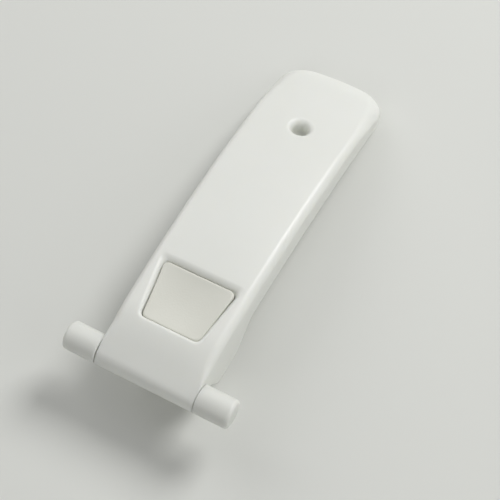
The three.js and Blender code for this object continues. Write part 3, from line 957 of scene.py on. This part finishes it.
# %% Thumb pad
pad_gap = 0.12 * mm
pad_edge = 0.5 * mm
pad_recess_near = 1.1 * mm
pad_recess_far = 0.4 * mm
pad_dish = 0.3 * mm
pad_hollow = 0.6 * mm
pad_rings = 16
window_middle = window_start + window_length / 2


def pad_height(x, y):
    share = (y - window_start) / window_length
    level = arch_at(y) - mix(pad_recess_near, pad_recess_far, share)
    half = mix(window_near_width, window_far_width, share) / 2
    dip_along = max(0.0, 4 * share * (1 - share))
    dip_across = max(0.0, 1 - (x / half) ** 2)
    return level - (pad_dish + pad_hollow * dip_across) * dip_along


def pad_ring(inset, shrink, drop):
    ring = []
    for p in window_outline(-pad_gap - inset):
        x, y = p.x * shrink, mix(window_middle, p.y, shrink)
        ring.append((x, bar_y + y, pad_height(x, y) - drop))
    return ring


pad_low, pad_high = node_box("button_pad")
outer = window_outline(-pad_gap)
rings = [[(p.x, bar_y + p.y, pad_low[2]) for p in outer]]
for k in range(edge_steps + 1):
    a = math.pi / 2 * k / edge_steps
    rings.append(pad_ring(pad_edge * (1 - math.cos(a)), 1, pad_edge * (1 - math.sin(a))))
for k in range(1, pad_rings):
    rings.append(pad_ring(pad_edge, 1 - k / pad_rings, 0))
pad = skin_over("thumb_pad", rings, pad_elastomer_painted_shade)
smooth_shade(pad)
finish_piece(pad, "button", "thumb_pad", "button_pad")
print("pad", [round(v / mm, 1) for v in pad_high - pad_low], "mm")

# %% [markdown]
# ## Catch, button and base
# These three are mouldings with sharp edges in the frame. Each is copied and its coplanar
# faces are merged. Real mouldings have no sharp edges, so a narrow bevel is run along those
# of the hook and the button. The base lies between the cover's sides and keeps its own.

# %% Softened mouldings
flat_angle = math.radians(1.5)
bevel_angle = math.radians(30)
frame_weld = 0.002 * mm
catch_bevel = 0.2 * mm
button_bevel = 0.1 * mm


def softened_copy(node, name, material, bevel=0.0):
    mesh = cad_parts[node].data.copy()
    piece = bpy.data.objects.new(name, mesh)
    bpy.context.scene.collection.objects.link(piece)
    mesh.materials.clear()
    mesh.materials.append(material)
    shape = bmesh.new()
    shape.from_mesh(mesh)
    bmesh.ops.remove_doubles(shape, verts=shape.verts, dist=frame_weld)
    bmesh.ops.dissolve_limit(shape, angle_limit=flat_angle, verts=shape.verts, edges=shape.edges)
    shape.to_mesh(mesh)
    shape.free()
    if bevel:
        soft = piece.modifiers.new("soften", "BEVEL")
        soft.width = bevel
        soft.segments = 3
        soft.limit_method = "ANGLE"
        soft.angle_limit = bevel_angle
        apply_modifiers(piece)
    smooth_shade(piece)
    print(name, len(piece.data.polygons), "faces")
    return piece


catch = softened_copy("latch_catch", "catch_hook", catch_acetal, catch_bevel)
finish_piece(catch, "catch", "catch", "latch_catch")
button = softened_copy("release_button", "button_frame", abs_inside, button_bevel)
finish_piece(button, "button", "button", "release_button")
base = softened_copy("lever_base", "base_plate", abs_inside)
finish_piece(base, "lever", "lever_shell", "lever_base")

# %% [markdown]
# ## Screws
# Four small self-tapping screws hold the base. Only their heads show. Each head is turned
# with its countersink, and a cross recess is cut into its face. The thread is a ridge wound
# round the shank inside the boss. It is part of the same rings as the shank, because a thread
# wound as a body of its own would have to be joined on.

# %% Screws
screw_head = 2.1 * mm
head_depth = 1 * mm
head_edge = 0.12 * mm
head_gap = 0.1 * mm
recess_width = 0.75 * mm
recess_reach = 2.5 * mm
recess_depth = 0.9 * mm
recess_taper = 0.55
recess_overshoot = 0.1 * mm
thread_pitch = 0.9 * mm
thread_depth = 0.3 * mm
thread_steps = 48
point_length = 1.2 * mm
point_radius = 0.02 * mm


def shank_radius_at(height, angle):
    """Radius of the shank at a height, on a thread wound up the screw and fading out at its point."""
    phase = (height / thread_pitch - angle / (2 * math.pi)) % 1
    ridge = max(0.0, 1 - abs(phase - 0.5) * 4)
    taper = min(1.0, (screw_length - height) / point_length)
    return max(point_radius, (screw_shank - thread_depth * (1 - ridge)) * taper)


def make_screw():
    """One screw with its head's face on z = 0 and its point up."""
    head = [(point_radius, 0), *rounded(screw_head, 0, head_edge, up=-1)[::-1],
            (screw_shank, head_depth)]
    rings = turned_rings(head, Matrix())
    for height in spread(head_depth + head_gap, screw_length, thread_steps):
        ring = []
        for k in range(turn_facets):
            a = 2 * math.pi * k / turn_facets
            r = shank_radius_at(height, a)
            ring.append(Vector((r * math.cos(a), r * math.sin(a), height)))
        rings.append(ring)
    screw = skin_over("screw", rings, screw_steel)
    for turn in (0, math.pi / 2):
        spin = Matrix.Rotation(turn, 4, "Z")
        bars = []
        for depth, reach in ((-recess_overshoot, recess_reach),
                             (recess_depth, recess_reach * recess_taper)):
            x = reach / 2
            y = recess_width / 2
            corners = ((-x, -y, depth), (x, -y, depth), (x, y, depth), (-x, y, depth))
            bars.append([spin @ Vector(corner) for corner in corners])
        carve(screw, [skin_over("recess", bars, screw_steel)])
    return screw


print("screw", round(screw_length / mm, 1), "mm long, pitch", round(thread_pitch / mm, 1), "mm")

# %% Place the screws
pattern = make_screw()
for i, (place, _) in enumerate(screw_places, start=1):
    mesh = pattern.data.copy()
    mesh.transform(place)
    screw = bpy.data.objects.new(f"base_screw_cut_{i}", mesh)
    bpy.context.scene.collection.objects.link(screw)
    smooth_shade(screw)
    finish_piece(screw, "lever", "screw_steel", f"base_screw_{i}")
bpy.data.objects.remove(pattern)
print("screws:", i, "with", len(mesh.polygons), "faces each")

# %% [markdown]
# ## Springs
# A spring behind the hook pushes it forward, and two under the button lift it. Each is a
# round wire wound between its seats. A curve with a bevel could do it, but rings along a
# helix end square and are a mesh at once. Each spring gets a mesh of its own.

# %% Springs
wire_sides = 16
turn_steps = 40
catch_wire = 0.5 * mm
catch_turns = 6
button_wire = 0.4 * mm
button_turns = 4


def coil(name, radius, wire, length, turns, place):
    """A wire wound round Z from 0 to its length, with open ends."""
    count = int(turns * turn_steps)
    points = []
    for k in range(count + 1):
        t = k / count
        a = 2 * math.pi * turns * t
        z = wire / 2 + (length - wire) * t
        points.append(Vector((radius * math.cos(a), radius * math.sin(a), z)))
    rings = []
    for k, p in enumerate(points):
        ahead = points[min(k + 1, count)] - points[max(k - 1, 0)]
        out = Vector((p.x, p.y, 0)).normalized()
        up = ahead.cross(out).normalized()
        ring = []
        for s in range(wire_sides):
            a = 2 * math.pi * s / wire_sides
            ring.append(place @ (p + (out * math.cos(a) + up * math.sin(a)) * wire / 2))
        rings.append(ring)
    piece = skin_over(name, rings, spring_steel)
    smooth_shade(piece)
    return piece


print("wire has", wire_sides, "sides")

# %% Wind the springs
low, high = node_box("catch_spring")
along_y = (Matrix.Translation((0, low[1], (low[2] + high[2]) / 2))
           @ Matrix.Rotation(-math.pi / 2, 4, "X"))
catch_length = high[1] - low[1]
catch_coil = coil("catch_spring_wound", (high[0] - low[0] - catch_wire) / 2, catch_wire,
                  catch_length, catch_turns, along_y)
finish_piece(catch_coil, "lever", "spring_steel", "catch_spring")
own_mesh(catch_coil)

for side in ("left", "right"):
    low, high = node_box("button_spring_" + side)
    height = high[2] - low[2]
    foot = Matrix.Translation(((low[0] + high[0]) / 2, (low[1] + high[1]) / 2, low[2]))
    piece = coil("button_spring_wound_" + side, (high[0] - low[0] - button_wire) / 2, button_wire,
                 height, button_turns, foot)
    finish_piece(piece, "lever", "spring_steel", "button_spring_" + side)
    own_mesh(piece)
print("springs wound")
